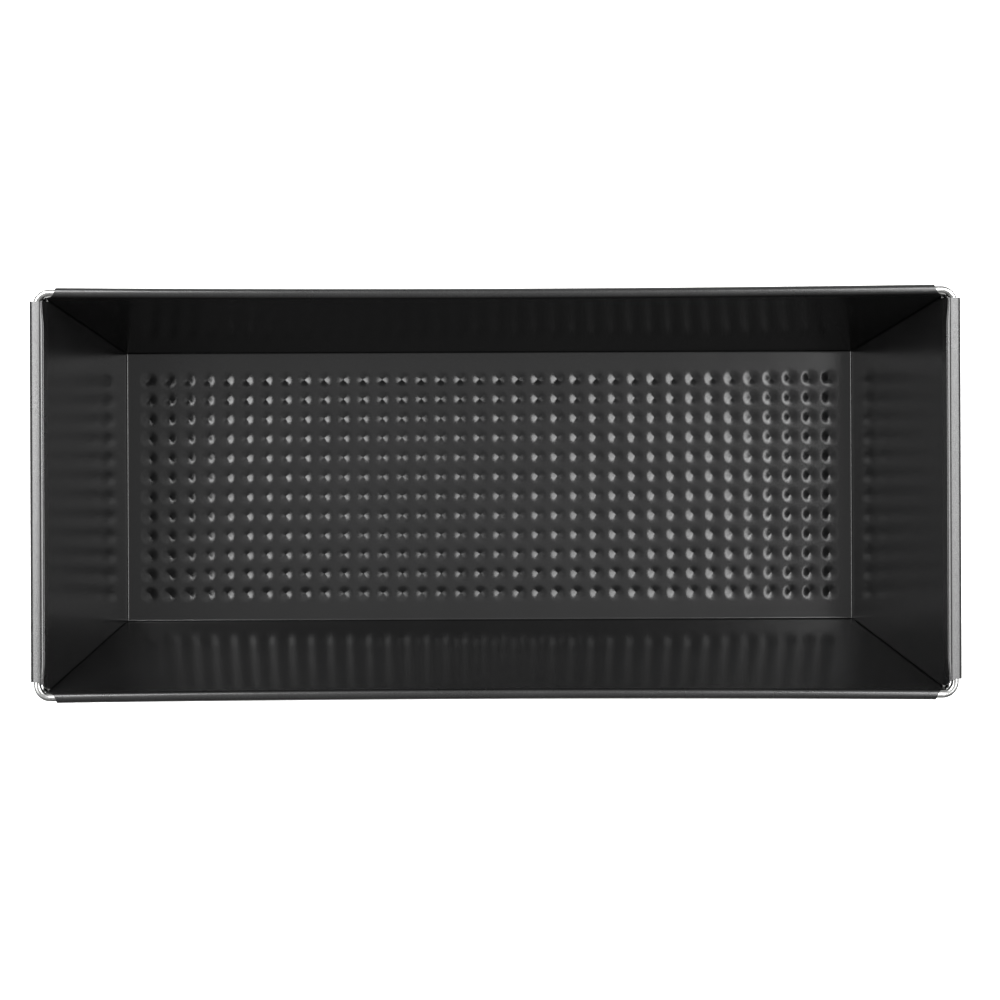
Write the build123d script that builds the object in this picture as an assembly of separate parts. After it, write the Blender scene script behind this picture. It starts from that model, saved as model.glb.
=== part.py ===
from build123d import *

import os
from math import atan, cos, degrees, hypot, radians, sin, sqrt, tan

# Folded sheet-steel loaf pan with a wired rim.  Millimetres, +Z up.
# +X runs along the pan's length and +Y to its rear long side.  The origin is
# the centre of the plane that the pan rests on, which touches the dent tips.

# Overall size
OVERALL_LENGTH = 309.5
OVERALL_WIDTH = 138.35
OVERALL_HEIGHT = 70.0

# Sheet
SHEET = 0.5
FOLD_GAP = 0.06          # air left between the layers of a fold
FLOOR_HALF_LENGTH = 133.7
FLOOR_HALF_WIDTH = 49.35
SIDE_BOW = 0.85          # how far a long rim bends inward at its middle
CORNER_BEND = 0.8        # sheet bend where a long wall turns round a corner
CORNER_EDGE_Z = 66.8     # cut edges of the sheet at the bare corners
GUSSET_START = 1.6       # gusset width where it leaves the floor

# Dents pressed down into the floor, which stop the loaf from sticking
DENT_COLUMNS = 36
DENT_ROWS = 12
DENT_PITCH = 7.18
DENT_DEPTH = 0.75
DENT_MOUTH_RADIUS = 3.3
DENT_TIP_RADIUS = 0.3

# Rim wire
WIRE_DIAMETER = 2.5
WIRE_CORNER_RADIUS = 3.85
WIRE_GAP = 0.5           # butt joint, hidden in the rolled front rim
ROLL_CLEARANCE = 0.05    # between the wire and the sheet rolled round it
END_WIRE_OFFSET = 0.45   # the wire lies this far inside the round of an end roll

# Long rolled rims
LONG_ROLL_TURN = 290
LONG_ROLL_END = 8.8      # bare corner, measured along the pan's length

# End rolled rims, from the pan's inside outward: lip, shallow valley, flat
# crest and roll.  Radii are of the sheet's middle line and slopes in degrees.
LIP_INSET = 3.9          # from the rim's outermost edge to the middle of the lip
LIP_RADIUS = 0.55
LIP_SLOPE = 12
LIP_RUN = 0.2
VALLEY_RADIUS = 0.5
CREST_SLOPE = 14
CREST_RUN = 0.75
CREST_RADIUS = 0.8
TUCK_LENGTH = 0.9        # flat end of the sheet under the wire
END_ROLL_REAR = 4.6      # bare corner, measured along the pan's width
END_ROLL_FRONT = 7.2
ROLL_CHAMFER = 0.9       # cut off the outer corner of each roll's end

SLOPE_STEPS = 20         # enough for the wall slope to settle to rounding error

# Worked out from the above
FLOOR_UNDERSIDE = DENT_DEPTH
FLOOR_TOP = FLOOR_UNDERSIDE + SHEET
ROLL_MID = WIRE_DIAMETER / 2 + ROLL_CLEARANCE + SHEET / 2
ROLL_OUTER = ROLL_MID + SHEET / 2
WIRE_Z = OVERALL_HEIGHT - ROLL_OUTER
LONG_WIRE_Y = OVERALL_WIDTH / 2 - ROLL_OUTER
END_ROLL_X = OVERALL_LENGTH / 2 - ROLL_OUTER
END_WIRE_X = END_ROLL_X - END_WIRE_OFFSET


def turned(direction, angle):
    """A plane direction turned anticlockwise by an angle in degrees."""
    x, y = direction
    cosine = cos(radians(angle))
    sine = sin(radians(angle))
    return (cosine * x - sine * y, sine * x + cosine * y)


def ahead(point, direction, distance):
    """The point that far from a point in a direction, in the plane."""
    return (point[0] + distance * direction[0], point[1] + distance * direction[1])


def sheet_section(start, heading, cap, moves):
    """Face of the bent sheet's section, followed along its middle line.

    start is the middle of the first edge, heading the first direction in
    degrees, and cap the vector from start to the left corner of that edge.
    A move is (length,) for a straight or (radius, turn) for a bend, with a
    right turn negative.
    """
    point = start
    direction = turned((1, 0), heading)
    left_start = (start[0] + cap[0], start[1] + cap[1])
    right_start = (start[0] - cap[0], start[1] - cap[1])
    left_edges = []
    right_edges = []
    for move in moves:
        if len(move) == 1:
            point = ahead(point, direction, move[0])
            side = turned(direction, 90)
            left_end = ahead(point, side, SHEET / 2)
            right_end = ahead(point, side, -SHEET / 2)
            left_edges.append(Line(left_start, left_end))
            right_edges.append(Line(right_start, right_end))
        else:
            radius, turn = move
            side = turned(direction, 90 if turn > 0 else -90)
            centre = ahead(point, side, radius)
            outward = (-side[0], -side[1])
            half_way = turned(outward, turn / 2)
            finish = turned(outward, turn)
            point = ahead(centre, finish, radius)
            direction = turned(direction, turn)
            left_radius = radius - SHEET / 2 if turn > 0 else radius + SHEET / 2
            right_radius = 2 * radius - left_radius
            left_end = ahead(centre, finish, left_radius)
            right_end = ahead(centre, finish, right_radius)
            left_middle = ahead(centre, half_way, left_radius)
            right_middle = ahead(centre, half_way, right_radius)
            left_edges.append(ThreePointArc(left_start, left_middle, left_end))
            right_edges.append(ThreePointArc(right_start, right_middle, right_end))
        left_start, right_start = left_end, right_end
    outline = left_edges + [Line(left_end, right_end)] + right_edges
    first = Line(left_edges[0] @ 0, right_edges[0] @ 0)
    return make_face(outline + [first])


def lip_centre_height():
    """Height of the centre of the lip's bend, worked back from the flat crest."""
    crest_z = WIRE_Z + ROLL_MID
    crest_drop = CREST_RADIUS * (1 - cos(radians(CREST_SLOPE)))
    rise_drop = CREST_RUN * sin(radians(CREST_SLOPE))
    valley_drop = VALLEY_RADIUS * (1 - cos(radians(CREST_SLOPE)))
    valley_z = crest_z - crest_drop - rise_drop - valley_drop
    lip_rise = VALLEY_RADIUS * (1 - cos(radians(LIP_SLOPE)))
    lip_rise += LIP_RUN * sin(radians(LIP_SLOPE))
    lip_rise += LIP_RADIUS * (1 - cos(radians(LIP_SLOPE)))
    return valley_z + lip_rise - LIP_RADIUS


LIP_CENTRE_Z = lip_centre_height()
LIP_CENTRE_X = OVERALL_LENGTH / 2 - LIP_INSET


def solve_wall_slope(floor_half, tangent_radius, centre, centre_z):
    """Slope of a wall whose middle line touches a circle near its top.

    The touching point depends a little on the slope, so it is solved in steps
    from an upright wall.
    """
    slope = 0
    for _ in range(SLOPE_STEPS):
        angle = atan(slope)
        across = SHEET / 2 / cos(angle)
        touch = centre - tangent_radius * cos(angle)
        touch_z = centre_z + tangent_radius * sin(angle)
        slope = (touch - across - floor_half) / (touch_z - FLOOR_TOP)
    return slope


LONG_SLOPE = solve_wall_slope(FLOOR_HALF_WIDTH, ROLL_MID, LONG_WIRE_Y, WIRE_Z)
END_SLOPE = solve_wall_slope(FLOOR_HALF_LENGTH, LIP_RADIUS, LIP_CENTRE_X, LIP_CENTRE_Z)
LONG_ANGLE = atan(LONG_SLOPE)
END_ANGLE = atan(END_SLOPE)
LONG_ACROSS = SHEET / cos(LONG_ANGLE)     # sheet thickness on a level slice
END_ACROSS = SHEET / cos(END_ANGLE)
LAYER_PITCH = END_ACROSS + FOLD_GAP / cos(END_ANGLE)
GUSSET_LEAN = atan(LONG_SLOPE * cos(LONG_ANGLE))


def inner_half_width(z):
    """Distance from the pan's middle to a long wall's inner face."""
    return FLOOR_HALF_WIDTH + (z - FLOOR_TOP) * LONG_SLOPE


def inner_half_length(z):
    """Distance from the pan's middle to an end wall's inner face."""
    return FLOOR_HALF_LENGTH + (z - FLOOR_TOP) * END_SLOPE


def gusset_tip_y(z):
    """Where the free fold of the gusset is, on a straight line from the floor corner.

    A square corner of sheet, folded in half and laid on the end wall, puts its
    fold 45 degrees from one wall's edge, less the lean of both edges.
    """
    slant = (z - FLOOR_TOP) / cos(END_ANGLE)
    return FLOOR_HALF_WIDTH - GUSSET_START - slant * tan(radians(45) - 2 * GUSSET_LEAN)


# Bow of the long rims: a large circle, seen from above, that the inner face of
# the long wall follows at the height of the corner edges.
BOW_HALF_CHORD = inner_half_length(CORNER_EDGE_Z) + END_ACROSS + 2 * LAYER_PITCH - CORNER_BEND
BOW_RADIUS = (BOW_HALF_CHORD ** 2 + SIDE_BOW ** 2) / (2 * SIDE_BOW)
BOW_CENTRE_Y = inner_half_width(CORNER_EDGE_Z) - SIDE_BOW + BOW_RADIUS


def bow_point(x, radius):
    """Point of the circle with that radius about the rear rim's bow centre."""
    return (x, BOW_CENTRE_Y - sqrt(radius ** 2 - x ** 2))


def quarter_slice(z, side, bowed):
    """One quarter of a level slice through the walls' outer or inner face.

    side is 1 for the pan's outer face and -1 for its inner one.  From the
    middle of the long wall the sheet turns the corner, runs along the outside
    of the end wall as the gusset's outer layer, folds back as its inner
    layer, folds once more and becomes the end wall.
    """
    half = side * END_ACROSS / 2
    long_face = inner_half_width(z) + LONG_ACROSS / 2 + side * LONG_ACROSS / 2
    long_middle = inner_half_width(z) + LONG_ACROSS / 2
    end_middle = inner_half_length(z) + END_ACROSS / 2
    outer_middle = end_middle + 2 * LAYER_PITCH
    fold = LAYER_PITCH / 2
    tip_y = gusset_tip_y(z)
    root_y = long_middle - LONG_ACROSS - FOLD_GAP - fold

    corner_x = outer_middle - CORNER_BEND
    corner_y = long_middle - CORNER_BEND
    bend = CORNER_BEND + side * LONG_ACROSS / 2
    if bowed:
        radius = BOW_RADIUS - (LONG_ACROSS if side > 0 else 0)
        corner_start = bow_point(corner_x, radius)
        wall = ThreePointArc(bow_point(-corner_x, radius), bow_point(0, radius), corner_start)
    else:
        corner_start = (corner_x, long_face)
        wall = Line((-corner_x, long_face), corner_start)
    corner_middle = ahead((corner_x, corner_y), turned((1, 0), 45), bend)
    outer_top = (outer_middle + half, corner_y)
    outer_tip = (outer_middle + half, tip_y)
    tip_centre = (outer_middle - fold, tip_y)
    inner_tip = (outer_middle - 2 * fold - half, tip_y)
    inner_root = (end_middle + 2 * fold - half, root_y)
    root_centre = (end_middle + fold, root_y)
    end_root = (end_middle + half, root_y)
    corner = [
        ThreePointArc(corner_start, corner_middle, outer_top),
        Line(outer_top, outer_tip),
        ThreePointArc(outer_tip, ahead(tip_centre, (0, -1), fold + half), inner_tip),
        Line(inner_tip, inner_root),
        ThreePointArc(inner_root, ahead(root_centre, (0, 1), fold - half), end_root),
    ]
    return wall, corner, end_root


def wall_slice(z, side, bowed):
    """The closed outline of the walls' outer or inner face at one height."""
    wall, corner, end_root = quarter_slice(z, side, bowed)
    edges = [wall, wall.mirror(Plane.XZ)]
    for edge in corner:
        rear = [edge, edge.mirror(Plane.YZ)]
        edges += rear
        edges += [part.mirror(Plane.XZ) for part in rear]
    end_wall = Line(end_root, (end_root[0], -end_root[1]))
    edges += [end_wall, end_wall.mirror(Plane.YZ)]
    return Wire(edges).moved(Location((0, 0, z)))


def folded_walls():
    """The four walls with their gussets, up to the corners' cut edges."""
    shells = []
    for side in (1, -1):
        low = wall_slice(FLOOR_UNDERSIDE, side, False)
        high = wall_slice(CORNER_EDGE_Z, side, True)
        shells.append(Solid.make_loft([low, high], ruled=True))
    return shells[0] - shells[1]


def dent_cone(bottom_z, top_z):
    """One dent as a shallow cone, tip down, with a small flat tip."""
    cone = Cone(DENT_TIP_RADIUS, DENT_MOUTH_RADIUS, top_z - bottom_z)
    return Pos(0, 0, (bottom_z + top_z) / 2) * cone


def dented_floor():
    """Floor sheet with the field of dents, sunk inside and proud below."""
    level = (FLOOR_UNDERSIDE + FLOOR_TOP) / 2
    half_length = inner_half_length(level) + END_ACROSS / 2
    half_width = inner_half_width(level) + LONG_ACROSS / 2
    plate = Pos(0, 0, level) * Box(2 * half_length, 2 * half_width, SHEET)
    places = GridLocations(DENT_PITCH, DENT_PITCH, DENT_COLUMNS, DENT_ROWS)
    bump = dent_cone(FLOOR_UNDERSIDE - DENT_DEPTH, FLOOR_UNDERSIDE)
    hollow = dent_cone(FLOOR_TOP - DENT_DEPTH, FLOOR_TOP)
    plate = plate.fuse(*[place * bump for place in places])
    return plate.cut(*[place * hollow for place in places])


def long_rim():
    """Rolled rim of the rear long wall, swept along its bow."""
    start = (inner_half_width(CORNER_EDGE_Z) + LONG_ACROSS / 2, CORNER_EDGE_Z)
    touch_y = LONG_WIRE_Y - ROLL_MID * cos(LONG_ANGLE)
    touch_z = WIRE_Z + ROLL_MID * sin(LONG_ANGLE)
    straight = hypot(touch_y - start[0], touch_z - start[1])
    heading = 90 - degrees(LONG_ANGLE)
    moves = [(straight,), (ROLL_MID, -LONG_ROLL_TURN)]
    section = Plane.YZ * sheet_section(start, heading, (-LONG_ACROSS / 2, 0), moves)
    section = Pos(0, -SIDE_BOW, 0) * section
    half_run = OVERALL_LENGTH / 2 - LONG_ROLL_END
    half_turn = degrees(atan(half_run / (BOW_CENTRE_Y - LONG_WIRE_Y)))
    axis = Axis((0, BOW_CENTRE_Y, 0), (0, 0, 1))
    section = section.rotate(axis, -half_turn)
    return revolve(section, axis, 2 * half_turn)


def end_rim():
    """Lip, valley, flat crest and roll of the right end wall."""
    start = (inner_half_length(CORNER_EDGE_Z) + END_ACROSS / 2, CORNER_EDGE_Z)
    touch_x = LIP_CENTRE_X - LIP_RADIUS * cos(END_ANGLE)
    touch_z = LIP_CENTRE_Z + LIP_RADIUS * sin(END_ANGLE)
    wall_run = hypot(touch_x - start[0], touch_z - start[1])
    heading = 90 - degrees(END_ANGLE)
    before_crest = LIP_CENTRE_X
    before_crest += (LIP_RADIUS + VALLEY_RADIUS) * sin(radians(LIP_SLOPE))
    before_crest += LIP_RUN * cos(radians(LIP_SLOPE))
    before_crest += (VALLEY_RADIUS + CREST_RADIUS) * sin(radians(CREST_SLOPE))
    before_crest += CREST_RUN * cos(radians(CREST_SLOPE))
    moves = [
        (wall_run,),
        (LIP_RADIUS, -heading - LIP_SLOPE),
        (LIP_RUN,),
        (VALLEY_RADIUS, LIP_SLOPE + CREST_SLOPE),
        (CREST_RUN,),
        (CREST_RADIUS, -CREST_SLOPE),
        (END_ROLL_X - before_crest,),
        (ROLL_MID, -180),
        (TUCK_LENGTH,),
    ]
    section = sheet_section(start, heading, (-END_ACROSS / 2, 0), moves)
    rear = OVERALL_WIDTH / 2 - END_ROLL_REAR
    front = OVERALL_WIDTH / 2 - END_ROLL_FRONT
    rim = extrude(Plane.XZ * section, rear + front)
    return Pos(0, rear, 0) * rim


def chamfer_cutters():
    """Small 45-degree blocks that trim the outer corners of the rolls' ends."""
    size = ROLL_CHAMFER * sqrt(2)
    block = Rot(0, 0, 45) * Box(size, size, 4 * ROLL_OUTER)
    half_length = OVERALL_LENGTH / 2
    half_width = OVERALL_WIDTH / 2
    places = []
    for x_sign in (-1, 1):
        places.append((x_sign * (half_length - LONG_ROLL_END), half_width))
        places.append((x_sign * (half_length - LONG_ROLL_END), -half_width))
        places.append((x_sign * half_length, half_width - END_ROLL_REAR))
        places.append((x_sign * half_length, END_ROLL_FRONT - half_width))
    return [Pos(x, y, WIRE_Z) * block for x, y in places]


def pan_body():
    """The whole folded sheet as one solid."""
    rear_rim = long_rim()
    right_rim = end_rim()
    rims = [rear_rim, rear_rim.mirror(Plane.XZ), right_rim, right_rim.mirror(Plane.YZ)]
    rims = [rim.cut(*chamfer_cutters()) for rim in rims]
    return folded_walls().fuse(dented_floor(), *rims)


def wire_path():
    """Centre line of the ring, from one side of its butt joint to the other."""
    bow_radius = BOW_CENTRE_Y - (LONG_WIRE_Y - SIDE_BOW)
    corner_x = END_WIRE_X - WIRE_CORNER_RADIUS
    corner_reach = bow_radius + WIRE_CORNER_RADIUS
    corner_y = BOW_CENTRE_Y - sqrt(corner_reach ** 2 - corner_x ** 2)
    touch_x = corner_x * bow_radius / corner_reach
    touch = bow_point(touch_x, bow_radius)
    corner_end = (END_WIRE_X, corner_y)
    half_turn = (90 + degrees(atan(touch_x / (BOW_CENTRE_Y - touch[1])))) / 2
    corner_middle = ahead((corner_x, corner_y), turned((1, 0), half_turn), WIRE_CORNER_RADIUS)
    corner = ThreePointArc(touch, corner_middle, corner_end)
    rear_side = ThreePointArc(bow_point(-touch_x, bow_radius), bow_point(0, bow_radius), touch)
    end_side = Line(corner_end, (END_WIRE_X, -corner_y))
    gap_end = bow_point(WIRE_GAP / 2, bow_radius)
    half_side = ThreePointArc(touch, bow_point(touch_x / 2, bow_radius), gap_end)
    right_half = [half_side.mirror(Plane.XZ), corner.mirror(Plane.XZ), end_side, corner]
    left_half = [edge.mirror(Plane.YZ) for edge in right_half]
    return Wire(right_half + [rear_side] + left_half).moved(Location((0, 0, WIRE_Z)))


def rim_wire():
    """The steel wire ring, open only at its butt joint."""
    path = wire_path()
    section = Plane(origin=path @ 0, z_dir=path % 0) * Circle(WIRE_DIAMETER / 2)
    return sweep(section, path=path)


os.makedirs("parts", exist_ok=True)
export_step(pan_body(), "parts/pan_body.step")
export_step(rim_wire(), "parts/rim_wire.step")
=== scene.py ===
"""Looks of a folded sheet-steel loaf pan with a wired rim.

The pan is two pieces: one folded and coated sheet, and one bright wire ring.
The sheet is built as its middle surface and then given its thickness.
Everything is in metres, in the CAD model's frame: +X along the pan's length,
+Y to its rear long side, +Z up.
"""

import math

import bmesh
import bpy
import numpy as np
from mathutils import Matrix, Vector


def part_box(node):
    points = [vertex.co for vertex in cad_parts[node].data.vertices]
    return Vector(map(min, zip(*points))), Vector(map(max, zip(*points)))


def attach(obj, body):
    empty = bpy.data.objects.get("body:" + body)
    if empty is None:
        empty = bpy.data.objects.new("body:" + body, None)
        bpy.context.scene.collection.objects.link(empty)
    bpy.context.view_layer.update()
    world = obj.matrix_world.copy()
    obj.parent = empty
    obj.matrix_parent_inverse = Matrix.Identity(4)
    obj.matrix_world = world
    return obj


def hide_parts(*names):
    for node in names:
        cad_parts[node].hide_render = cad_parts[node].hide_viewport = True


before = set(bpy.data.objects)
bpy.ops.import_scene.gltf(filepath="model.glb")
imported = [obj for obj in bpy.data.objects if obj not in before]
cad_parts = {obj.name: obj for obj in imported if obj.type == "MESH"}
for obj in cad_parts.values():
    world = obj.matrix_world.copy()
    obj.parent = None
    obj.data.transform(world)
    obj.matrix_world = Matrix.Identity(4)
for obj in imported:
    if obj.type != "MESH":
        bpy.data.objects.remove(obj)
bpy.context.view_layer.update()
body_low, body_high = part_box("pan_body")
wire_low, wire_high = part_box("rim_wire")

MM = 0.001

# Sheet and folds
SHEET = 0.5 * MM
FOLD_GAP = 0.06 * MM         # air between the layers of a fold
LAYER_SPREAD = 1.03          # the walls' lean sets the layers this much further apart
LAYERS_APART_BY = 3 * MM     # height over which a gusset's layers come apart
CORNER_BEND = 0.8 * MM
CORNER_STAND_OFF = 0.65 * MM  # how far the outermost layer stands off at the top corner
STAND_OFF_HEIGHT = 12 * MM   # it closes up again over this height and this width
STAND_OFF_WIDTH = 12 * MM
FLOOR_BEND = 1.0 * MM
FLOOR_HALF_LENGTH = 133.7 * MM
FLOOR_HALF_WIDTH = 49.35 * MM
FLOOR_MARGIN = (0.55, 0.93, 1.0)  # shares of the way from the dented field to the bend
FOLD_OUT = 0.2 * MM          # from the floor's inner fold line to the sheet's middle
SIDE_BOW = 0.85 * MM         # how far a long rim leans in at its middle
WALL_TOP = 66.8 * MM         # where the walls end and the rims begin
WALL_STEPS = (0.25, 0.7, 1.5, 3, 5, 8, 12, 17, 23, 30, 37, 44, 51, 57)  # mm above the bend
WALL_LAST_STEPS = (4, 1.5, 0.5, 0)  # mm below the walls' top

# Dents in the floor
DENT_COLUMNS = 36
DENT_ROWS = 12
DENT_PITCH = 7.18 * MM
DENT_RADIUS = 3.53 * MM
DENT_DEPTH = 0.75 * MM
DENT_SIDES = 24              # points round a dent, a multiple of 8
DENT_RINGS = (0.08, 0.22, 0.37, 0.52, 0.66, 0.78, 0.88, 0.95, 1.0)  # shares of its radius
DENT_ROUND_POWER = 2.2       # 2 is a true circle, and more is squarer
DENT_SQUARE_POWER = 4        # added to that at the dent's tip

# Wire
WIRE_CORNER_RADIUS = 4.3 * MM
WIRE_SIDES = 40
ROLL_CLEARANCE = 0.05 * MM

# Long rims.  Where a roll starts, it still reaches the bare corner, and further
# along its section it draws back: stations are mm along the section, and shares
# are 1 at the corner and 0 at the roll's own end.
LONG_ROLL_TURN = 290
LONG_ROLL_END = 8.8 * MM     # bare corner, along the pan's length
LONG_CUT_STATIONS = (0, 2.1, 2.4, 3.1, 3.6, 4.3, 5.0)
LONG_CUT_SHARES = (1, 0.9, 0.42, 0.22, 0.13, 0.04, 0)
LONG_PINNED = 0.85           # share of the rim, from its middle, that the cut leaves alone

# End rims, from the pan's inside outward: lip, valley, crest and roll
LIP_INSET = 4.7 * MM         # from the rim's outermost edge to the middle of the lip
LIP_RADIUS = 0.35 * MM
LIP_SLOPE = 14
LIP_RUN = 0.4 * MM
VALLEY_RADIUS = 0.4 * MM
RISE_SLOPE = 14
RISE_RUN = 0.15 * MM
CREST_RADIUS = 0.8 * MM
CREST_SLOPE = 8              # outward fall of the end rim just past its crest
ROLL_SLOPE = 13              # outward fall where its roll begins
TUCK_LENGTH = 0.9 * MM       # flat end of the sheet under the wire
END_ROLL_REAR = 4.6 * MM     # bare corners, along the pan's width
END_ROLL_FRONT = 7.2 * MM
END_CUT_STATIONS = (0, 2.2, 3.0, 3.5, 4.5, 5.5)
END_CUT_SHARES = (1, 0.8, 0.5, 0.3, 0.2, 0)
END_PINNED = 0.75
LIP_SWERVE = 0.65 * MM       # the lip runs this much further out at its two ends
SWERVE_STATIONS = (0, 2.6, 3.6, 4.6)
SWERVE_SHARES = (0, 1, 0.7, 0)
SWERVE_START = 0.86          # share of the way to the corner where the swerve starts
SWERVE_REACH = 0.1           # share over which it grows

# Worked out from the above and the frame
HALF_LENGTH = body_high.x
HALF_WIDTH = body_high.y
WIRE_RADIUS = (wire_high.z - wire_low.z) / 2
WIRE_Z = (wire_high.z + wire_low.z) / 2
END_WIRE_X = wire_high.x - WIRE_RADIUS
ROLL_MID = WIRE_RADIUS + ROLL_CLEARANCE + SHEET / 2
ROLL_OUTER = ROLL_MID + SHEET / 2
LONG_WIRE_Y = HALF_WIDTH - ROLL_OUTER
END_ROLL_X = HALF_LENGTH - ROLL_OUTER
FLOOR_Z = body_low.z + DENT_DEPTH + SHEET / 2
LAYER_PITCH = LAYER_SPREAD * (SHEET + FOLD_GAP)


# ---------------------------------------------------------------- sections

def follow(start, heading, moves, step=9.0):
    """Points along a path of straights (length,) and bends (radius, turn).

    heading and turn are in degrees, and a right turn is negative.
    """
    points = [np.array(start, float)]
    angle = math.radians(heading)
    for move in moves:
        if len(move) == 1:
            forward = np.array([math.cos(angle), math.sin(angle)])
            points.append(points[-1] + move[0] * forward)
            continue
        radius, turn = move
        side = math.copysign(1, turn)
        to_centre = angle + side * math.pi / 2
        centre = points[-1] + radius * np.array([math.cos(to_centre), math.sin(to_centre)])
        count = max(2, math.ceil(abs(turn) / step))
        for i in range(1, count + 1):
            swept = to_centre + math.pi + math.radians(turn) * i / count
            points.append(centre + radius * np.array([math.cos(swept), math.sin(swept)]))
        angle += math.radians(turn)
    return np.array(points)


def tangent_line(corner, centre, radius):
    """Heading in degrees and length of the line from corner that touches a circle's left side."""
    across = centre[0] - corner[0]
    up = centre[1] - corner[1]
    distance = math.hypot(across, up)
    heading = math.atan2(up, across) + math.asin(radius / distance)
    return math.degrees(heading), math.sqrt(distance ** 2 - radius ** 2)


def end_crest_moves():
    """Moves along the end rim from the top of its lip to where its roll begins."""
    moves = [
        (LIP_RADIUS, -LIP_SLOPE),
        (LIP_RUN,),
        (VALLEY_RADIUS, LIP_SLOPE + RISE_SLOPE),
        (RISE_RUN,),
        (CREST_RADIUS, -RISE_SLOPE - CREST_SLOPE),
    ]
    covered = follow((0, 0), 0, moves)[-1][0]
    crest = math.sin(math.radians(CREST_SLOPE))
    roll = math.sin(math.radians(ROLL_SLOPE))
    left = END_ROLL_X + ROLL_MID * roll - (HALF_LENGTH - LIP_INSET) - covered
    moves.append((left / (roll - crest), CREST_SLOPE - ROLL_SLOPE))
    return moves


def lip_centre():
    """Centre of the lip's bend, worked back from where the end rim's roll begins."""
    climb = follow((0, 0), 0, end_crest_moves())[-1][1]
    z = WIRE_Z + ROLL_MID * math.cos(math.radians(ROLL_SLOPE)) - climb
    return HALF_LENGTH - LIP_INSET, z - LIP_RADIUS


LONG_CORNER = (FLOOR_HALF_WIDTH + FOLD_OUT, FLOOR_Z)
END_CORNER = (FLOOR_HALF_LENGTH + FOLD_OUT, FLOOR_Z)
LONG_HEADING, LONG_SLANT = tangent_line(LONG_CORNER, (LONG_WIRE_Y, WIRE_Z), ROLL_MID)
END_HEADING, END_SLANT = tangent_line(END_CORNER, lip_centre(), LIP_RADIUS)
LONG_SLOPE = 1 / math.tan(math.radians(LONG_HEADING))
END_SLOPE = 1 / math.tan(math.radians(END_HEADING))
BEND_REACH = FLOOR_BEND * math.tan(math.radians(LONG_HEADING) / 2)
BEND_TOP = FLOOR_Z + BEND_REACH * math.sin(math.radians(LONG_HEADING))
GUSSET_LEAN = math.atan(LONG_SLOPE * math.cos(math.atan(LONG_SLOPE)))
GUSSET_TIP_SLOPE = math.tan(math.radians(45) - 2 * GUSSET_LEAN)


def long_middle(z):
    """Distance from the pan's middle to the middle of a long wall's sheet."""
    return LONG_CORNER[0] + (z - FLOOR_Z) * LONG_SLOPE


def end_middle(z):
    """Distance from the pan's middle to the middle of an end wall's sheet."""
    return END_CORNER[0] + (z - FLOOR_Z) * END_SLOPE


# ------------------------------------------------------------------- sheet

class Surface:
    """Vertices and faces gathered from patches that share their borders."""

    def __init__(self):
        self.points = []
        self.faces = []

    def add(self, points, faces):
        first = len(self.points)
        self.points += [tuple(p) for p in points]
        self.faces += [tuple(first + i for i in face) for face in faces]

    def add_grid(self, grid):
        """A patch of quads from an array of rows by columns by three."""
        rows, columns = grid.shape[:2]
        faces = []
        for r in range(rows - 1):
            for c in range(columns - 1):
                i = r * columns + c
                faces.append((i, i + 1, i + columns + 1, i + columns))
        self.add(grid.reshape(-1, 3), faces)

    def to_mesh(self, name):
        mesh = bpy.data.meshes.new(name)
        mesh.from_pydata(self.points, [], self.faces)
        work = bmesh.new()
        work.from_mesh(mesh)
        bmesh.ops.remove_doubles(work, verts=work.verts, dist=0.002 * MM)
        bmesh.ops.dissolve_degenerate(work, edges=work.edges, dist=0.001 * MM)
        bmesh.ops.recalc_face_normals(work, faces=work.faces)
        work.to_mesh(mesh)
        work.free()
        return mesh


def dent_depth_at(share):
    """Depth of a dent at a share of its radius, where its slope goes as 1 - share^3."""
    return DENT_DEPTH * (1 - (4 * share - share ** 4) / 3)


def dent_outline(share, angles):
    """A square contour near the dent's tip that rounds to a circle at its rim."""
    power = DENT_ROUND_POWER + DENT_SQUARE_POWER * (1 - share) ** 4
    cosine = np.cos(angles)
    sine = np.sin(angles)
    x = np.sign(cosine) * np.abs(cosine) ** (2 / power)
    y = np.sign(sine) * np.abs(sine) ** (2 / power)
    return DENT_RADIUS * share * np.stack([x, y], axis=1)


def dent_cell():
    """Points and faces of one square cell of the floor with its dent."""
    angles = np.arange(DENT_SIDES) * 2 * math.pi / DENT_SIDES
    spokes = np.stack([np.cos(angles), np.sin(angles)], axis=1)
    border = DENT_PITCH / 2 * spokes / np.abs(spokes).max(axis=1)[:, None]
    points = [(0, 0, FLOOR_Z - DENT_DEPTH)]
    for share in DENT_RINGS:
        z = FLOOR_Z - dent_depth_at(share)
        points += [(x, y, z) for x, y in dent_outline(share, angles)]
    points += [(x, y, FLOOR_Z) for x, y in border]
    faces = []
    for i in range(DENT_SIDES):
        j = (i + 1) % DENT_SIDES
        faces.append((0, 1 + i, 1 + j))
        for ring in range(len(DENT_RINGS)):
            inner = 1 + ring * DENT_SIDES
            outer = inner + DENT_SIDES
            faces.append((inner + i, outer + i, outer + j, inner + j))
    return np.array(points), faces


def border_stations(count):
    """Where the dents' cells put points along the edge of the dented field."""
    eighth = DENT_SIDES // 8
    offsets = DENT_PITCH / 2 * np.tan(np.arange(-eighth, eighth) * 2 * math.pi / DENT_SIDES)
    centres = (np.arange(count) - (count - 1) / 2) * DENT_PITCH
    inside = (centres[:, None] + offsets[None, :]).ravel()
    return np.append(inside, count * DENT_PITCH / 2)


def with_margins(stations, edge):
    """The stations with more on both sides, the last where the floor's bend begins."""
    reach = edge - stations[-1]
    extra = stations[-1] + reach * np.array(FLOOR_MARGIN)
    return np.concatenate([-extra[::-1], stations, extra])


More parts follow.
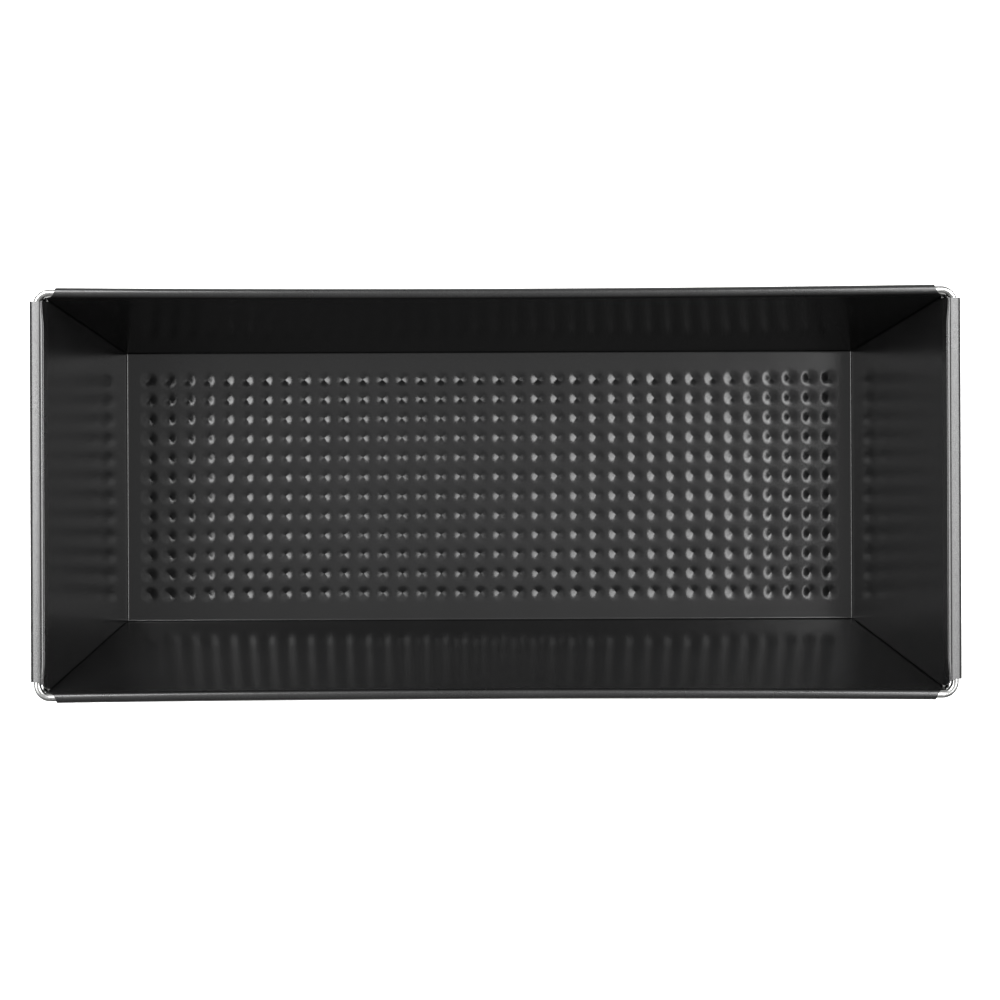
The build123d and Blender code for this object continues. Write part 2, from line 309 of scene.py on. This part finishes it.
FIELD_X = border_stations(DENT_COLUMNS)
FIELD_Y = border_stations(DENT_ROWS)
FLAT_X = END_CORNER[0] - BEND_REACH
FLAT_Y = LONG_CORNER[0] - BEND_REACH
ALONG_X = with_margins(FIELD_X, FLAT_X)
ALONG_Y = with_margins(FIELD_Y, FLAT_Y)


def add_floor(surface):
    """The dented field and the plain strips round it."""
    points, faces = dent_cell()
    for column in range(DENT_COLUMNS):
        for row in range(DENT_ROWS):
            x = (column - (DENT_COLUMNS - 1) / 2) * DENT_PITCH
            y = (row - (DENT_ROWS - 1) / 2) * DENT_PITCH
            surface.add(points + np.array([x, y, 0]), faces)
    margin = len(FLOOR_MARGIN)
    strips_x = [ALONG_X[:margin + 1], FIELD_X, ALONG_X[-margin - 1:]]
    strips_y = [ALONG_Y[:margin + 1], FIELD_Y, ALONG_Y[-margin - 1:]]
    for i, xs in enumerate(strips_x):
        for j, ys in enumerate(strips_y):
            if i == 1 and j == 1:
                continue
            grid_x, grid_y = np.meshgrid(xs, ys)
            level = np.full_like(grid_x, FLOOR_Z)
            surface.add_grid(np.stack([grid_x, grid_y, level], axis=2))


def wall_rows():
    """Each row of the walls as (bend reach, height): reach is None above the floor's bend."""
    rows = []
    turns = 6
    for i in range(turns + 1):
        angle = math.radians(LONG_HEADING) * i / turns
        reach = FLOOR_BEND * math.sin(angle)
        rows.append((reach, FLOOR_Z + FLOOR_BEND * (1 - math.cos(angle))))
    for step in WALL_STEPS:
        rows.append((None, BEND_TOP + step * MM))
    for step in WALL_LAST_STEPS:
        rows.append((None, WALL_TOP - step * MM))
    return rows


def spread_of(z):
    """How far a gusset's layers have come apart at a height, from 0 to 1."""
    return min(1.0, max(0.0, (z - BEND_TOP) / LAYERS_APART_BY))


def gusset_outline(z):
    """Right rear quarter of the folds at a height, from the long wall to the end wall."""
    spread = spread_of(z)
    pitch = LAYER_PITCH * spread
    bend = CORNER_BEND * spread
    long_y = long_middle(z)
    end_x = end_middle(z)
    outer_x = end_x + 2 * pitch
    stand_off = CORNER_STAND_OFF * max(0.0, 1 - (WALL_TOP - z) / STAND_OFF_HEIGHT)
    slant = (z - BEND_TOP) / math.sin(math.radians(END_HEADING))
    tip_y = long_middle(BEND_TOP) - slant * GUSSET_TIP_SLOPE
    root_y = long_y - spread * (SHEET + FOLD_GAP) - pitch / 2
    bend_x = outer_x + stand_off - bend
    bend_y = long_y - bend
    run = np.linspace(0, 1, 15) ** 1.5     # points closer together at its start
    closing = np.clip(1 - (bend_y - tip_y) * run / STAND_OFF_WIDTH, 0, 1)
    quarter = np.radians(np.linspace(90, 0, 7))
    half = np.radians(np.linspace(0, 180, 9))
    pieces = [
        (bend_x + bend * np.cos(quarter), bend_y + bend * np.sin(quarter)),
        (outer_x + stand_off * closing, bend_y + (tip_y - bend_y) * run),
        (outer_x - pitch / 2 + pitch / 2 * np.cos(half), tip_y - pitch / 2 * np.sin(half)),
        (np.full_like(run, outer_x - pitch), tip_y + (root_y - tip_y) * run),
        (end_x + pitch / 2 + pitch / 2 * np.cos(half), root_y + pitch / 2 * np.sin(half)),
    ]
    x = np.concatenate([p[0] for p in pieces])
    y = np.concatenate([p[1] for p in pieces])
    return np.stack([x, y, np.full_like(x, z)], axis=1)


TOP_OUTLINE = gusset_outline(WALL_TOP)
GUSSET_POINTS = len(TOP_OUTLINE)
CORNER_X = TOP_OUTLINE[0, 0]     # where a long wall's top edge ends
CORNER_Y = TOP_OUTLINE[-1, 1]    # where an end wall's top edge ends


def bow_at(x, reach, z):
    """How far the long wall leans in at a place along it, because its rim is bowed."""
    height = np.clip((z - BEND_TOP) / (WALL_TOP - BEND_TOP), 0, 1)
    return SIDE_BOW * height * (1 - (x / reach) ** 2)


def add_walls(surface):
    """Floor bend, walls and gussets, up to the level where the rims begin."""
    long_rows = []
    end_rows = []
    gusset_rows = []
    for reach, z in wall_rows():
        if reach is None:
            gusset = gusset_outline(z)
        else:
            gusset = np.tile((FLAT_X + reach, FLAT_Y + reach, z), (GUSSET_POINTS, 1))
        x_reach, y_wall = gusset[0, :2]
        x_wall, y_reach = gusset[-1, :2]
        x = ALONG_X * x_reach / FLAT_X
        y = ALONG_Y * y_reach / FLAT_Y
        y_bowed = y_wall - bow_at(x, x_reach, z)
        long_rows.append(np.stack([x, y_bowed, np.full_like(x, z)], axis=1))
        end_rows.append(np.stack([np.full_like(y, x_wall), y, np.full_like(y, z)], axis=1))
        gusset_rows.append(gusset)
    for flip in ((1, 1, 1), (1, -1, 1)):
        surface.add_grid(np.array(long_rows) * flip)
    for flip in ((1, 1, 1), (-1, 1, 1)):
        surface.add_grid(np.array(end_rows) * flip)
    for flip in ((1, 1, 1), (1, -1, 1), (-1, 1, 1), (-1, -1, 1)):
        surface.add_grid(np.array(gusset_rows) * flip)


def travelled(path):
    """Distance along a path at each of its points."""
    steps = np.linalg.norm(np.diff(path, axis=0), axis=1)
    return np.concatenate([[0], np.cumsum(steps)])


def add_long_rim(surface, side):
    """Rolled rim of one long side; side is 1 at the rear and -1 at the front."""
    start = (long_middle(WALL_TOP), WALL_TOP)
    climbed = (WALL_TOP - FLOOR_Z) / math.sin(math.radians(LONG_HEADING))
    straight = LONG_SLANT - climbed
    moves = [(straight / 4,)] * 4 + [(ROLL_MID, -LONG_ROLL_TURN)]
    path = follow(start, LONG_HEADING, moves)
    past_end = np.interp(travelled(path) / MM, LONG_CUT_STATIONS, LONG_CUT_SHARES)
    roll_end = HALF_LENGTH - LONG_ROLL_END
    base_x = ALONG_X * CORNER_X / FLAT_X
    pinned = LONG_PINNED * CORNER_X
    beyond = np.maximum(np.abs(base_x) - pinned, 0)
    rows = []
    for (y, z), past in zip(path, past_end):
        end = roll_end + past * (CORNER_X - roll_end)
        squeeze = (end - pinned) / (CORNER_X - pinned)
        x = np.sign(base_x) * (np.abs(base_x) - beyond + beyond * squeeze)
        y_bowed = y - bow_at(x, CORNER_X, WALL_TOP)
        rows.append(np.stack([x, side * y_bowed, np.full_like(x, z)], axis=1))
    surface.add_grid(np.array(rows))


def add_end_rim(surface, side):
    """Lip, valley, crest and roll of one end; side is 1 at the right."""
    climbed = (WALL_TOP - FLOOR_Z) / math.sin(math.radians(END_HEADING))
    straight = END_SLANT - climbed
    moves = [
        (straight * 0.5,),
        (straight * 0.4,),
        (straight * 0.1,),
        (LIP_RADIUS, -END_HEADING),
        *end_crest_moves(),
        (ROLL_MID, ROLL_SLOPE - 180),
        (TUCK_LENGTH,),
    ]
    path = follow((end_middle(WALL_TOP), WALL_TOP), END_HEADING, moves)
    stations = travelled(path) / MM
    past_end = np.interp(stations, END_CUT_STATIONS, END_CUT_SHARES)
    swerve = LIP_SWERVE * np.interp(stations, SWERVE_STATIONS, SWERVE_SHARES)
    base_y = ALONG_Y * CORNER_Y / FLAT_Y
    near_end = (np.abs(base_y) / CORNER_Y - SWERVE_START) / SWERVE_REACH
    near_end = np.clip(near_end, 0, 1) ** 2
    pinned = END_PINNED * CORNER_Y
    beyond = np.maximum(np.abs(base_y) - pinned, 0)
    roll_end = HALF_WIDTH - np.where(base_y > 0, END_ROLL_REAR, END_ROLL_FRONT)
    rows = []
    for (x, z), past, swerved in zip(path, past_end, swerve):
        end = roll_end + past * (CORNER_Y - roll_end)
        squeeze = (end - pinned) / (CORNER_Y - pinned)
        y = np.sign(base_y) * (np.abs(base_y) - beyond + beyond * squeeze)
        rows.append(np.stack([side * (x + swerved * near_end), y, np.full_like(y, z)], axis=1))
    surface.add_grid(np.array(rows))


def thicken(obj):
    """Gives the middle surface its sheet thickness and leaves no modifier on it."""
    solid = obj.modifiers.new("thickness", "SOLIDIFY")
    solid.thickness = SHEET
    solid.offset = 0
    solid.use_even_offset = True
    solid.use_quality_normals = True
    solid.material_offset_rim = 1
    evaluated = obj.evaluated_get(bpy.context.evaluated_depsgraph_get())
    thick = bpy.data.meshes.new_from_object(evaluated)
    obj.modifiers.clear()
    obj.data = thick
    thick.shade_smooth()
    thick.set_sharp_from_angle(angle=math.radians(32))


def build_sheet():
    """The whole folded sheet as one piece."""
    surface = Surface()
    add_floor(surface)
    add_walls(surface)
    for side in (1, -1):
        add_long_rim(surface, side)
        add_end_rim(surface, side)
    mesh = surface.to_mesh("folded_sheet")
    mesh.materials.append(coating_material())
    mesh.materials.append(cut_edge_material())
    sheet = bpy.data.objects.new("folded_sheet", mesh)
    bpy.context.scene.collection.objects.link(sheet)
    thicken(sheet)
    return sheet


# -------------------------------------------------------------------- wire

def wire_centre_line():
    """Closed centre line of the ring, with bowed long sides and round corners."""
    corner_x = END_WIRE_X - WIRE_CORNER_RADIUS
    side_x = np.linspace(0, corner_x, 41)
    side_y = LONG_WIRE_Y - bow_at(side_x, CORNER_X, WALL_TOP)
    turn = np.radians(np.linspace(90, 0, 19))[1:]
    corner_y = side_y[-1] - WIRE_CORNER_RADIUS
    bend_x = corner_x + WIRE_CORNER_RADIUS * np.cos(turn)
    bend_y = corner_y + WIRE_CORNER_RADIUS * np.sin(turn)
    end_y = np.linspace(corner_y, 0, 9)[1:]
    x = np.concatenate([side_x, bend_x, np.full_like(end_y, END_WIRE_X)])
    y = np.concatenate([side_y, bend_y, end_y])
    quarter = np.stack([x, y], axis=1)
    half = np.concatenate([quarter, (quarter * (1, -1))[-2::-1]])
    return np.concatenate([half, (half * (-1, 1))[-2:0:-1]])


def build_wire():
    """The wire ring, a round tube along its centre line."""
    line = wire_centre_line()
    ahead = np.roll(line, -1, axis=0) - np.roll(line, 1, axis=0)
    ahead /= np.linalg.norm(ahead, axis=1)[:, None]
    outward = np.stack([-ahead[:, 1], ahead[:, 0]], axis=1)
    angles = np.arange(WIRE_SIDES + 1) * 2 * math.pi / WIRE_SIDES
    rings = []
    for centre, out in zip(line, outward):
        across = WIRE_RADIUS * np.cos(angles)[:, None] * out
        z = WIRE_Z + WIRE_RADIUS * np.sin(angles)
        rings.append(np.column_stack([centre + across, z]))
    rings.append(rings[0])
    surface = Surface()
    surface.add_grid(np.array(rings))
    mesh = surface.to_mesh("wire_ring")
    mesh.materials.append(wire_material())
    mesh.shade_smooth()
    wire = bpy.data.objects.new("wire_ring", mesh)
    bpy.context.scene.collection.objects.link(wire)
    return wire


# --------------------------------------------------------------- materials

RIM_RISE = 1.5 * MM          # height over which the coating turns into the rims' finish
RIM_DULLER = 0.07            # added to the coating's roughness on the rims
WALL_SHINE = 0.5
RIM_SHINE = 0.7


def new_material(name):
    """A new node material, with its tree and its Principled shader."""
    material = bpy.data.materials.new(name)
    material.use_nodes = True
    tree = material.node_tree
    shader = tree.nodes["Principled BSDF"]
    return material, tree, shader


def noise(tree, scale, detail=2.0, roughness=0.5, stretch=(1, 1, 1)):
    """A noise texture in the object's own metres; scale is in cycles per metre."""
    place = tree.nodes.new("ShaderNodeTexCoord")
    stretcher = tree.nodes.new("ShaderNodeMapping")
    stretcher.inputs["Scale"].default_value = stretch
    texture = tree.nodes.new("ShaderNodeTexNoise")
    texture.inputs["Scale"].default_value = scale
    texture.inputs["Detail"].default_value = detail
    texture.inputs["Roughness"].default_value = roughness
    tree.links.new(place.outputs["Object"], stretcher.inputs["Vector"])
    tree.links.new(stretcher.outputs["Vector"], texture.inputs["Vector"])
    return texture.outputs["Fac"]


def ramp(tree, value, low, high, start=0.35, end=0.65):
    """A number that goes from low to high as value goes from start to end."""
    node = tree.nodes.new("ShaderNodeMapRange")
    node.inputs["From Min"].default_value = start
    node.inputs["From Max"].default_value = end
    node.inputs["To Min"].default_value = low
    node.inputs["To Max"].default_value = high
    tree.links.new(value, node.inputs["Value"])
    return node.outputs["Result"]


def bump(tree, shader, layers):
    """Stacks bumps on the shader; each layer is (height value, height in metres)."""
    before = None
    for value, distance in layers:
        node = tree.nodes.new("ShaderNodeBump")
        node.inputs["Distance"].default_value = distance
        tree.links.new(value, node.inputs["Height"])
        if before is not None:
            tree.links.new(before, node.inputs["Normal"])
        before = node.outputs["Normal"]
    tree.links.new(before, shader.inputs["Normal"])


def grey_mix(tree, factor, dark, light):
    """A colour that goes from dark to light with a factor."""
    node = tree.nodes.new("ShaderNodeMix")
    node.data_type = "RGBA"
    node.inputs["A"].default_value = (*dark, 1)
    node.inputs["B"].default_value = (*light, 1)
    tree.links.new(factor, node.inputs["Factor"])
    return node.outputs["Result"]


def height_share(tree, low, high):
    """A number that goes from 0 to 1 between two heights on the object."""
    place = tree.nodes.new("ShaderNodeTexCoord")
    split = tree.nodes.new("ShaderNodeSeparateXYZ")
    tree.links.new(place.outputs["Object"], split.inputs["Vector"])
    return ramp(tree, split.outputs["Z"], 0, 1, low, high)


def combined(tree, operation, first, second):
    """Two numbers put together by a math operation."""
    node = tree.nodes.new("ShaderNodeMath")
    node.operation = operation
    tree.links.new(first, node.inputs[0])
    tree.links.new(second, node.inputs[1])
    return node.outputs["Value"]


def coating_material():
    """Black non-stick coating with a fine grain, duller and lighter on the rims."""
    material, tree, shader = new_material("nonstick_coating")
    grain = noise(tree, 2600, detail=2)
    cloud = noise(tree, 45, detail=3)
    speck = noise(tree, 3200, detail=2)
    rim = height_share(tree, WALL_TOP, WALL_TOP + RIM_RISE)
    colour = grey_mix(tree, cloud, (0.0024, 0.0024, 0.0025), (0.0044, 0.0044, 0.0044))
    tree.links.new(colour, shader.inputs["Base Color"])
    duller = ramp(tree, rim, 0, RIM_DULLER, 0, 1)
    roughness = combined(tree, "ADD", ramp(tree, cloud, 0.2, 0.23), duller)
    tree.links.new(roughness, shader.inputs["Roughness"])
    shine = ramp(tree, rim, WALL_SHINE, RIM_SHINE, 0, 1)
    shine = combined(tree, "MULTIPLY", shine, ramp(tree, speck, 0.75, 1.25))
    tree.links.new(shine, shader.inputs["Specular IOR Level"])
    shader.inputs["IOR"].default_value = 1.5
    rim_grain = combined(tree, "MULTIPLY", grain, ramp(tree, rim, 0.15, 1, 0, 1))
    bump(tree, shader, [(rim_grain, 0.012 * MM), (speck, 0.001 * MM)])
    return material


def cut_edge_material():
    """Bare steel where the sheet was cut, with fine shear marks."""
    material, tree, shader = new_material("cut_steel_edge")
    marks = noise(tree, 2500, detail=3)
    colour = grey_mix(tree, marks, (0.12, 0.12, 0.118), (0.22, 0.22, 0.216))
    tree.links.new(colour, shader.inputs["Base Color"])
    tree.links.new(ramp(tree, marks, 0.45, 0.6), shader.inputs["Roughness"])
    shader.inputs["Metallic"].default_value = 1
    bump(tree, shader, [(marks, 0.01 * MM)])
    return material


def wire_material():
    """Bright drawn steel wire, with faint lengthwise drawing lines."""
    material, tree, shader = new_material("bright_steel_wire")
    lines = noise(tree, 400, detail=4, stretch=(1, 1, 14))
    cloud = noise(tree, 300, detail=2)
    colour = grey_mix(tree, cloud, (0.34, 0.34, 0.335), (0.46, 0.46, 0.45))
    tree.links.new(colour, shader.inputs["Base Color"])
    tree.links.new(ramp(tree, cloud, 0.22, 0.32), shader.inputs["Roughness"])
    shader.inputs["Metallic"].default_value = 1
    bump(tree, shader, [(lines, 0.003 * MM)])
    return material


# ------------------------------------------------------------------ studio

SOFTBOX_HEIGHT = 0.68
SOFTBOX_PANELS = 5
SOFTBOX_GROWTH = 0.85        # how fast their radiance grows to the rear, per metre
# Name, side, inner edge at y = 0, its lean, width, front end, rear end, radiance at y = 0
SOFTBOXES = (
    ("right_softbox", 1, 0.336, 0.16, 0.9, -0.31, 0.55, 8.0),
    ("left_softbox", -1, 0.45, 0.3, 0.55, -0.385, 0.8, 10.2),
)
ROOM_MIDDLE = 0.82
ROOM_TILT = (0.2, 0.3, 0)    # the room grows brighter to the right and to the rear
ROOM_RANGE = (0.1, 1.4)
ROOM_SHADE = 0.55            # what is left of the room's light at the far end of each fade
ROOM_LEFT_FADE = (-0.3, -0.05)
ROOM_RIGHT_FADE = (0.15, 0.4)
ROOM_HORIZON = 0.3           # what is left of it close to the horizon
ROOM_HORIZON_FADE = (0.1, 0.6)

FLOOR_SIZE = 6
FLOOR_SEEN = 0.8             # grey of the floor for the camera
FLOOR_GLOW = 0.7             # its glow for the camera, which washes out the pan's shadow
FLOOR_NEAR = 0.6             # grey of the floor in reflections, near the pan and far from it: a painted pool of light round the pan
FLOOR_FAR = 0.05
FLOOR_FADE = (0.25, 0.5)

CAMERA_PLACE = (-20 * MM, 25.8 * MM, 673 * MM)
CAMERA_LENS = 65.48
CAMERA_SENSOR = (33, 36)
CAMERA_SHIFT = (0.0649, -0.08365)
CAMERA_TURN = 0.23           # degrees clockwise, seen from behind the camera


def add_area_light(name, place, size, radiance, turn):
    """A rectangular light that shines straight down with a given radiance."""
    light = bpy.data.lights.new(name, "AREA")
    light.shape = "RECTANGLE"
    light.size = size[0]
    light.size_y = size[1]
    light.energy = radiance * math.pi * size[0] * size[1]
    lamp = bpy.data.objects.new(name, light)
    lamp.location = place
    lamp.rotation_euler = (0, 0, turn)
    lamp.visible_camera = False
    bpy.context.scene.collection.objects.link(lamp)


def build_lights():
    """Two softboxes, each a row of panels that is brighter at its rear."""
    for name, side, inner, lean, width, front, rear, radiance in SOFTBOXES:
        stretch = math.hypot(1, lean)
        pitch = (rear - front) / SOFTBOX_PANELS
        for i in range(SOFTBOX_PANELS):
            y = front + pitch * (i + 0.5)
            outward = width / 2 / stretch
            place = (side * (inner - lean * y + outward), y + lean * outward, SOFTBOX_HEIGHT)
            size = (width, pitch * stretch)
            strength = radiance * math.exp(SOFTBOX_GROWTH * y)
            add_area_light(f"{name}_{i}", place, size, strength, side * math.atan(lean))


def build_surround():
    """A dim surround, brighter to the rear, that the camera itself sees as white."""
    world = bpy.data.worlds.new("studio")
    bpy.context.scene.world = world
    world.use_nodes = True
    tree = world.node_tree
    background = tree.nodes["Background"]
    rays = tree.nodes.new("ShaderNodeLightPath")
    place = tree.nodes.new("ShaderNodeTexCoord")
    tilt = tree.nodes.new("ShaderNodeVectorMath")
    tilt.operation = "DOT_PRODUCT"
    tilt.inputs[1].default_value = ROOM_TILT
    tree.links.new(place.outputs["Generated"], tilt.inputs[0])
    low, high = ROOM_RANGE
    grey = ramp(tree, tilt.outputs["Value"], low, high, low - ROOM_MIDDLE, high - ROOM_MIDDLE)
    split = tree.nodes.new("ShaderNodeSeparateXYZ")
    tree.links.new(place.outputs["Generated"], split.inputs["Vector"])
    left = ramp(tree, split.outputs["X"], ROOM_SHADE, 1, *ROOM_LEFT_FADE)
    right = ramp(tree, split.outputs["X"], 1, ROOM_SHADE, *ROOM_RIGHT_FADE)
    horizon = ramp(tree, split.outputs["Z"], ROOM_HORIZON, 1, *ROOM_HORIZON_FADE)
    for fade in (left, right, horizon):
        grey = combined(tree, "MULTIPLY", grey, fade)
    seen = tree.nodes.new("ShaderNodeMix")
    tree.links.new(rays.outputs["Is Camera Ray"], seen.inputs["Factor"])
    tree.links.new(grey, seen.inputs["A"])
    seen.inputs["B"].default_value = 1
    tree.links.new(seen.outputs["Result"], background.inputs["Strength"])
    background.inputs["Color"].default_value = (1, 1, 1, 1)


def build_floor():
    """A pale floor, white to the camera, whose glow washes out the pan's shadow, with a painted
    pool of light near the pan that only reflections show.
    """
    bpy.ops.mesh.primitive_plane_add(size=FLOOR_SIZE, location=(0, 0, 0))
    floor = bpy.context.object
    floor.name = "studio_floor"
    material, tree, shader = new_material("pale_floor")
    to_camera = tree.nodes.new("ShaderNodeLightPath").outputs["Is Camera Ray"]
    place = tree.nodes.new("ShaderNodeTexCoord")
    distance = tree.nodes.new("ShaderNodeVectorMath")
    distance.operation = "LENGTH"
    tree.links.new(place.outputs["Object"], distance.inputs[0])
    # painted light: in reflections the floor is lighter near the pan and fades to dark far from
    # it
    painted_pool_in_reflections = ramp(tree, distance.outputs["Value"], FLOOR_NEAR, FLOOR_FAR, *FLOOR_FADE)
    seen = ramp(tree, to_camera, 0, FLOOR_SEEN, 0, 1)
    grey = combined(tree, "MAXIMUM", painted_pool_in_reflections, seen)
    tree.links.new(grey, shader.inputs["Base Color"])
    shader.inputs["Roughness"].default_value = 0.9
    shader.inputs["Specular IOR Level"].default_value = 0
    glow = ramp(tree, to_camera, 0, FLOOR_GLOW, 0, 1)
    tree.links.new(glow, shader.inputs["Emission Strength"])
    shader.inputs["Emission Color"].default_value = (1, 1, 1, 1)
    floor.data.materials.append(material)


def build_camera():
    """The camera, which looks straight down; its shift puts the pan in the frame."""
    data = bpy.data.cameras.new("camera")
    data.lens = CAMERA_LENS
    data.sensor_fit = "VERTICAL"
    data.sensor_width, data.sensor_height = CAMERA_SENSOR
    data.shift_x, data.shift_y = CAMERA_SHIFT
    camera = bpy.data.objects.new("camera", data)
    camera.location = CAMERA_PLACE
    camera.rotation_euler = (0, 0, -math.radians(CAMERA_TURN))
    bpy.context.scene.collection.objects.link(camera)
    bpy.context.scene.camera = camera


# ---------------------------------------------------------------- assembly

sheet = build_sheet()
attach(sheet, "root")
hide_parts("pan_body")

wire = build_wire()
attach(wire, "root")
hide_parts("rim_wire")

build_lights()
build_surround()
build_floor()
build_camera()
bpy.context.scene.view_settings.view_transform = "Standard"
